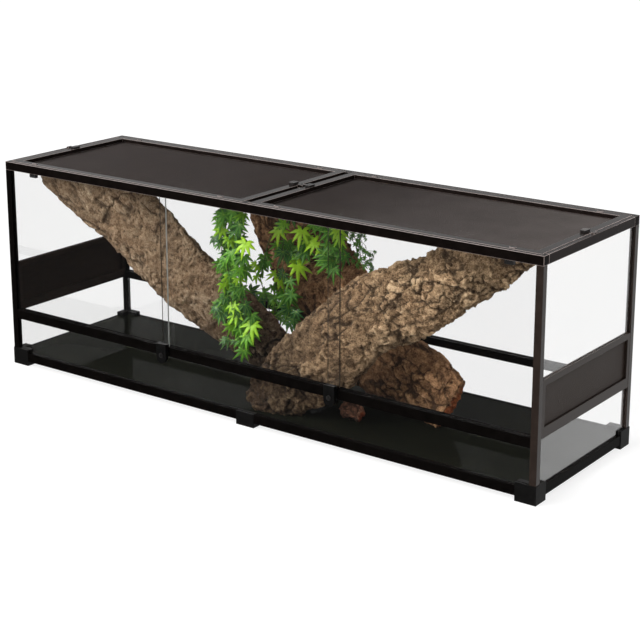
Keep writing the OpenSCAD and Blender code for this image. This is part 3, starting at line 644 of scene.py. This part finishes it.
def leaf_mesh(rng, l):
    """Points, triangles and vein values (0 on a rib, 1 on the rim) of one star-shaped leaf of seven
    pointed lobes, its middle at the origin, its longest lobe along +X."""
    angles = [-118, -76, -36, 0, 36, 76, 118]
    lengths = [0.60, 0.90, 1.16, 1.34, 1.16, 0.90, 0.60]
    points, vein = [Vector((0, 0, 0))], [0.0]
    lobes = []
    for a, k in zip(angles, lengths):
        lobes.append((math.radians(a + rng.uniform(-7, 7)), l * k * rng.uniform(0.86, 1.08)))
    dips = [-150, -97, -56, -18, 18, 56, 97, 150]
    dip_index = []
    for a in dips:
        r = l * (0.10 if abs(a) > 150 else 0.20)
        dip_index.append(len(points))
        points.append(Vector((r * math.cos(math.radians(a)), r * math.sin(math.radians(a)), 0.03 * l)))
        vein.append(1.0)
    faces = []
    for n, (a, r) in enumerate(lobes):
        axis = Vector((math.cos(a), math.sin(a), 0))
        side = Vector((-math.sin(a), math.cos(a), 0))
        wide = l * 0.145
        lift = Vector((0, 0, 0.05 * l))
        start = len(points)
        points += [axis * r * 0.34, axis * r * 0.66,
                   axis * r * 0.42 - side * wide + lift, axis * r * 0.42 + side * wide + lift,
                   axis * r * 0.70 - side * wide * 0.66 + lift * 0.7,
                   axis * r * 0.70 + side * wide * 0.66 + lift * 0.7,
                   axis * r]
        vein += [0.0, 0.0, 1.0, 1.0, 1.0, 1.0, 0.0]
        m1, m2, la, ra, lb, rb, tip = range(start, start + 7)
        dl, dr = dip_index[n], dip_index[n + 1]
        faces += [(0, dl, m1), (dl, la, m1), (la, lb, m1), (lb, m2, m1), (lb, tip, m2),
                  (0, m1, dr), (dr, m1, ra), (ra, m1, rb), (rb, m1, m2), (rb, m2, tip)]
    curl = rng.uniform(0.10, 0.45) / l
    sway = rng.uniform(-0.25, 0.25) / l
    for p in points:
        p.z -= curl * (p.x * p.x + 0.6 * p.y * p.y) + sway * p.x * p.y * 0.5
    return points, faces, vein


HIGHEST_LEAF = 566      # a leaf that starts above this would reach through its lid


def vine(name, paths, leaves, fill, seed, stem=1.7, turn=-52, spread=26, size=1.22):
    """The vine that shows in place of the CAD node name: stems along the paths (mm), a leaf at each
    (x, y, z, length, tint) and fill smaller ones near the stems; the leaves look along the bearing
    turn, give or take spread degrees."""
    rng = random.Random(seed)
    points, faces, vein, tint = [], [], [], []
    stem_points, stem_faces = [], []
    curves = []
    for path in paths:
        s = np.linspace(0, 1, 26)
        curve = at(np.array(path, float), s)
        for j in range(1, 25):
            curve[j, 0] += 2.5 * math.sin(j * 1.1 + seed)
            curve[j, 1] += 2.5 * math.cos(j * 0.9 + seed)
        curves.append(curve)
        base = len(stem_points)
        for j in range(26):
            for k in range(6):
                a = k * math.pi / 3
                r = stem * (1 - 0.5 * s[j])
                stem_points.append(curve[j] + np.array([r * math.cos(a), r * math.sin(a), 0]))
        for j in range(25):
            for k in range(6):
                m = (k + 1) % 6
                a, b = base + j * 6, base + (j + 1) * 6
                stem_faces.append((a + k, a + m, b + m, b + k))
        stem_faces.append(tuple(base + k for k in reversed(range(6))))
        stem_faces.append(tuple(base + 150 + k for k in range(6)))
    knots = np.concatenate(curves)
    small = []
    for i in range(fill):
        c = knots[rng.randrange(3, len(knots))]
        l = rng.uniform(0.55, 0.8) * max(v[3] for v in leaves)
        small.append((c[0] + rng.uniform(-22, 22), c[1] + rng.uniform(4, 18),
                      min(c[2] + rng.uniform(-14, 14), HIGHEST_LEAF), l, rng.uniform(0.08, 0.50)))
    for x, y, z, l, t in list(leaves) + small:
        bearing = math.radians(turn + rng.uniform(-spread, spread))
        droop = math.radians(rng.uniform(48, 84))
        spin = math.radians(rng.uniform(-55, 55))
        out = Vector((math.cos(bearing), math.sin(bearing), 0))
        side = Vector((-math.sin(bearing), math.cos(bearing), 0))
        ahead = out * math.cos(droop) + Vector((0, 0, -1)) * math.sin(droop)
        up = Vector((0, 0, 1)) * math.cos(droop) + out * math.sin(droop)
        ahead, side = (ahead * math.cos(spin) + side * math.sin(spin),
                       side * math.cos(spin) - ahead * math.sin(spin))
        foot = Vector((x, y, z))
        pts, fcs, vn = leaf_mesh(rng, l * size * rng.uniform(0.95, 1.12))
        start = len(points)
        for p, v in zip(pts, vn):
            points.append(np.array(foot + ahead * p.x + side * p.y + up * p.z))
            vein.append(v)
            tint.append(t)
        faces += [tuple(start + k for k in fc) for fc in fcs]
        # the leaf's stalk, a thin three-sided prism up to its stem
        d = np.abs(knots[:, 2] - (z + 0.45 * l)) + 0.6 * np.hypot(knots[:, 0] - x, knots[:, 1] - y)
        knot = Vector(knots[int(np.argmin(d))])
        base = len(stem_points)
        along = (foot - knot).normalized()
        one = along.orthogonal().normalized()
        two = along.cross(one)
        for q, r in ((knot, 0.8), (foot, 0.5)):
            for k in range(3):
                a = k * 2 * math.pi / 3
                stem_points.append(np.array(q + (one * math.cos(a) + two * math.sin(a)) * r))
        for k in range(3):
            m = (k + 1) % 3
            stem_faces.append((base + k, base + m, base + 3 + m, base + 3 + k))
        stem_faces.append((base + 2, base + 1, base))
        stem_faces.append((base + 3, base + 4, base + 5))
    body = body_with(name)
    o = new_piece(name + "_leaves", np.array(points) * MM, faces, MAT["leaf"], body, name)
    set_attribute(o, "vein", vein)
    set_attribute(o, "tint", tint)
    thick = o.modifiers.new("thickness", "SOLIDIFY")
    thick.thickness = 0.5 * MM
    thick.offset = 0
    new_piece(name + "_stems", np.array(stem_points) * MM, stem_faces, MAT["stem"], body, name)


# leaves as (x, y, z, length, tint), in mm; tint goes from 0, dark, to 1, light
LEFT = [
    (-120, -182, 564, 26, 0.35), (-96, -170, 574, 26, 0.45), (-62, -170, 572, 22, 0.6),
    (-134, -179, 540, 20, 0.4), (-156, -179, 495, 24, 0.02), (-128, -177, 522, 26, 0.8),
    (-111, -172, 498, 26, 0.75), (-69, -176, 542, 26, 0.2), (-44, -180, 496, 33, 0.95),
    (-102, -174, 460, 28, 0.45), (-119, -178, 439, 24, 0.35), (-80, -161, 442, 24, 0.5),
    (-133, -159, 409, 26, 0.55), (-67, -181, 420, 26, 0.5), (-116, -165, 387, 28, 0.85),
    (-138, -168, 362, 26, 0.8), (-90, -160, 383, 24, 0.85), (-63, -166, 315, 28, 0.1),
    (-129, -169, 326, 28, 0.1), (-148, -165, 278, 30, 0.12), (-160, -173, 290, 20, 0.05),
    (-104, -165, 308, 24, 0.85), (-94, -162, 282, 26, 0.8), (-108, -171, 248, 22, 0.6),
    (-43, -159, 260, 33, 0.8), (-85, -163, 241, 28, 0.5), (-80, -158, 207, 30, 0.45),
    (-59, -178, 187, 24, 0.4), (-53, -169, 229, 26, 0.55), (-127, -159, 200, 18, 0.1),
    (-137, -166, 198, 14, 0.1), (-102, -161, 352, 22, 0.3), (-75, -159, 361, 22, 0.3)]
MIDDLE = [
    (-106, -60, 398, 22, 0.85), (-85, -64, 410, 15, 0.2), (-112, -53, 362, 20, 0.8),
    (-141, -47, 311, 34, 0.08), (-103, -54, 293, 34, 0.05), (-87, -52, 222, 10, 0.4),
    (-67, -64, 204, 10, 0.45), (-68, -52, 171, 10, 0.4), (-76, -41, 142, 10, 0.3),
    (-36, -44, 504, 30, 0.95), (-13, -46, 527, 20, 0.6), (-11, -61, 450, 28, 0.1),
    (-2, -43, 443, 22, 0.15), (-37, -43, 365, 30, 0.95), (11, -60, 372, 22, 0.3), (-33, -49, 328, 24, 0.4),
    (2, -64, 328, 36, 0.3), (23, -61, 336, 26, 0.25), (8, -56, 294, 30, 0.1), (-12, -60, 301, 20, 0.12),
    (-49, -46, 378, 20, 0.85), (-55, -44, 265, 12, 0.7), (-52, -56, 249, 10, 0.75),
    (-48, -56, 298, 10, 0.6), (35, -61, 286, 20, 0.05), (2, -52, 262, 26, 0.1), (10, -56, 248, 22, 0.15),
    (20, -58, 262, 24, 0.1), (-6, -54, 278, 24, 0.2)]
BACK = [
    (58, -64, 522, 32, 0.95), (63, -52, 497, 22, 0.85), (97, -52, 493, 30, 0.95), (126, -61, 546, 26, 0.4),
    (148, -61, 531, 30, 0.4), (174, -59, 539, 26, 0.9), (179, -54, 520, 22, 0.8),
    (152, -58, 494, 30, 0.35), (138, -62, 469, 30, 0.3), (156, -56, 452, 34, 0.3),
    (164, -60, 431, 26, 0.25), (171, -43, 484, 28, 0.3), (184, -41, 467, 24, 0.25),
    (40, -63, 421, 32, 0.97), (13, -47, 427, 20, 0.8), (107, -50, 471, 20, 0.9), (78, -42, 540, 22, 0.5)]
RIGHT = [
    (162, 5, 524, 12, 0.25), (194, -14, 528, 12, 0.2), (203, 1, 517, 12, 0.2), (171, 4, 505, 11, 0.2),
    (194, -2, 493, 12, 0.3), (216, -9, 489, 12, 0.3), (232, -9, 478, 12, 0.3), (234, 4, 470, 11, 0.3),
    (200, -10, 468, 12, 0.25), (213, -12, 456, 12, 0.4), (219, 2, 459, 12, 0.45), (226, 9, 445, 12, 0.45),
    (252, -14, 449, 12, 0.35), (222, -2, 437, 11, 0.3), (236, 6, 421, 11, 0.3), (253, 1, 418, 11, 0.25),
    (263, 3, 408, 11, 0.2), (253, -7, 406, 10, 0.2), (179, 8, 442, 11, 0.3), (194, 3, 436, 10, 0.3),
    (180, -1, 514, 12, 0.2), (206, -11, 506, 12, 0.25), (221, -5, 482, 12, 0.3), (197, 2, 476, 11, 0.3)]
vine("vine_left", [
    [(-124, -152, 611), (-128, -160, 500), (-118, -165, 400), (-105, -168, 300), (-80, -168, 200)],
    [(-140, -150, 611), (-148, -165, 520), (-136, -165, 430), (-130, -165, 360), (-150, -165, 285)],
    [(-112, -150, 611), (-85, -165, 500), (-80, -168, 400), (-75, -165, 320), (-60, -165, 240)]], LEFT, 84, 5)
vine("vine_middle", [
    [(-31, -5, 600), (-20, -40, 500), (-20, -50, 400), (-12, -52, 300)],
    [(-31, -5, 600), (-70, -35, 480), (-95, -50, 380), (-80, -50, 300), (-55, -50, 240), (-50, -50, 190)],
    [(-31, -5, 600), (-35, -40, 450), (-45, -48, 350), (-52, -50, 255)]], MIDDLE, 26, 11)
vine("vine_back", [
    [(113, -30, 611), (110, -50, 540), (118, -52, 470), (135, -52, 430)],
    [(90, -32, 611), (50, -50, 530), (35, -50, 430)],
    [(140, -28, 611), (165, -50, 550), (175, -52, 480)]], BACK, 18, 21)
vine("vine_right", [
    [(153, 10, 611), (165, 5, 540), (195, 0, 480), (225, 0, 440), (262, 0, 400)],
    [(175, 8, 590), (205, 0, 520), (232, -4, 475), (252, -6, 440)]], RIGHT, 26, 31, 1.1, -52, 70, 1.1)


# ---------- floor, light, camera ----------

floor_mesh = bpy.data.meshes.new("studio_floor")
SPREAD, LEVEL = 60.0, -0.0002
floor_corners = [(x * SPREAD, y * SPREAD, LEVEL) for x, y in ((-1, -1), (1, -1), (1, 1), (-1, 1))]
floor_mesh.from_pydata(floor_corners, [], [(0, 1, 2, 3)])
floor = bpy.data.objects.new("studio_floor", floor_mesh)
bpy.context.scene.collection.objects.link(floor)
t = Tree("studio_floor")
d = t.add("ShaderNodeBsdfDiffuse")
rays = t.add("ShaderNodeLightPath")
seen = rays.outputs["Is Camera Ray"]
lit = t.ramp(t.noise(0.4, 2), [(0.2, (0.79, 0.79, 0.79)), (0.8, (0.81, 0.81, 0.81))])
t.put(d.inputs["Color"], t.mix("MIX", seen, lit, (0.3, 0.3, 0.3)))
glow = t.add("ShaderNodeEmission")
glow.inputs["Color"].default_value = (1, 1, 1, 1)
t.put(glow.inputs["Strength"], t.math("MULTIPLY", seen, 0.8))
both = t.add("ShaderNodeAddShader")
t.put(both.inputs[0], d.outputs[0])
t.put(both.inputs[1], glow.outputs[0])
# the bars and the glass mirror a floor that is dim before the doors and white behind and to the
# right; seen straight through glass it is white everywhere
place = t.add("ShaderNodeSeparateXYZ", Vector=t.add("ShaderNodeTexCoord").outputs["Object"])
behind = t.range(place.outputs["Y"], -0.262, -0.250, 0.0, 1.0)
beside = t.range(place.outputs["X"], 0.85, 1.0, 0.0, 1.0)
mirrored = t.add("ShaderNodeEmission")
mirrored.inputs["Color"].default_value = (1, 1, 1, 1)
mirror = t.math("MINIMUM", rays.outputs["Glossy Depth"], 1.0)
straight = t.math("SUBTRACT", 1.0, mirror)
bright = t.math("MAXIMUM", t.math("MAXIMUM", behind, beside), straight)
t.put(mirrored.inputs["Strength"], t.range(bright, 0.0, 1.0, 0.05, 1.0))
pick = t.add("ShaderNodeMixShader")
t.put(pick.inputs[0], t.math("MAXIMUM", mirror, rays.outputs["Is Transmission Ray"]))
t.put(pick.inputs[1], both.outputs[0])
t.put(pick.inputs[2], mirrored.outputs[0])
floor_mesh.materials.append(t.surface(pick.outputs[0]))

world = bpy.data.worlds.new("studio")
bpy.context.scene.world = world
world.use_nodes = True
nt = world.node_tree
nt.nodes.clear()
plain = nt.nodes.new("ShaderNodeBackground")
plain.inputs["Strength"].default_value = 0.5
white = nt.nodes.new("ShaderNodeBackground")
for bg in (plain, white):
    bg.inputs["Color"].default_value = (1, 1, 1, 1)
white.inputs["Strength"].default_value = 1.0
path = nt.nodes.new("ShaderNodeLightPath")
m1 = nt.nodes.new("ShaderNodeMath")
m1.operation = "MAXIMUM"
m2 = nt.nodes.new("ShaderNodeMath")
m2.operation = "MAXIMUM"
nt.links.new(path.outputs["Is Camera Ray"], m1.inputs[0])
nt.links.new(path.outputs["Is Glossy Ray"], m1.inputs[1])
nt.links.new(m1.outputs[0], m2.inputs[0])
nt.links.new(path.outputs["Is Transmission Ray"], m2.inputs[1])
mix = nt.nodes.new("ShaderNodeMixShader")
nt.links.new(m2.outputs[0], mix.inputs[0])
nt.links.new(plain.outputs[0], mix.inputs[1])
nt.links.new(white.outputs[0], mix.inputs[2])
out = nt.nodes.new("ShaderNodeOutputWorld")
nt.links.new(mix.outputs[0], out.inputs["Surface"])

sun = bpy.data.lights.new("key", "SUN")
sun.energy = 2.5
sun.angle = math.radians(40)
key = bpy.data.objects.new("key", sun)
bpy.context.scene.collection.objects.link(key)
key.rotation_euler = Vector((-0.75, -1.0, 0.85)).to_track_quat("Z", "Y").to_euler()


def edge_light(name, where, size, power, colour):
    """A lamp that only draws the fine bright lines along the bars' edges."""
    lamp = bpy.data.lights.new(name, "AREA")
    lamp.shape = "RECTANGLE"
    lamp.size, lamp.size_y = size
    lamp.energy = power
    lamp.color = colour
    o = bpy.data.objects.new(name, lamp)
    bpy.context.scene.collection.objects.link(o)
    o.location = where
    o.rotation_euler = (Vector((0, 0, 0.5)) - Vector(where)).to_track_quat("-Z", "Y").to_euler()
    o.visible_diffuse = False
    o.visible_transmission = False
    o.visible_camera = False


edge_light("edge_front", (-2.0, -1.1, 2.9), (3.0, 0.8), 60, (1.0, 0.86, 0.8))
edge_light("edge_back", (1.2, 2.6, 2.4), (2.0, 0.8), 40, (1.0, 0.86, 0.8))

cam_data = bpy.data.cameras.new("camera")
cam_data.sensor_width = 36
cam_data.lens = 91.67
cam_data.shift_y = -0.1145
cam_data.clip_end = 200
camera = bpy.data.objects.new("camera", cam_data)
bpy.context.scene.collection.objects.link(camera)
camera.location = (2.6463, -3.4861, 1.6127)
camera.rotation_euler = (math.radians(90 - 14.67), 0, math.radians(36.469))
bpy.context.scene.camera = camera
bpy.context.scene.view_settings.view_transform = "Standard"
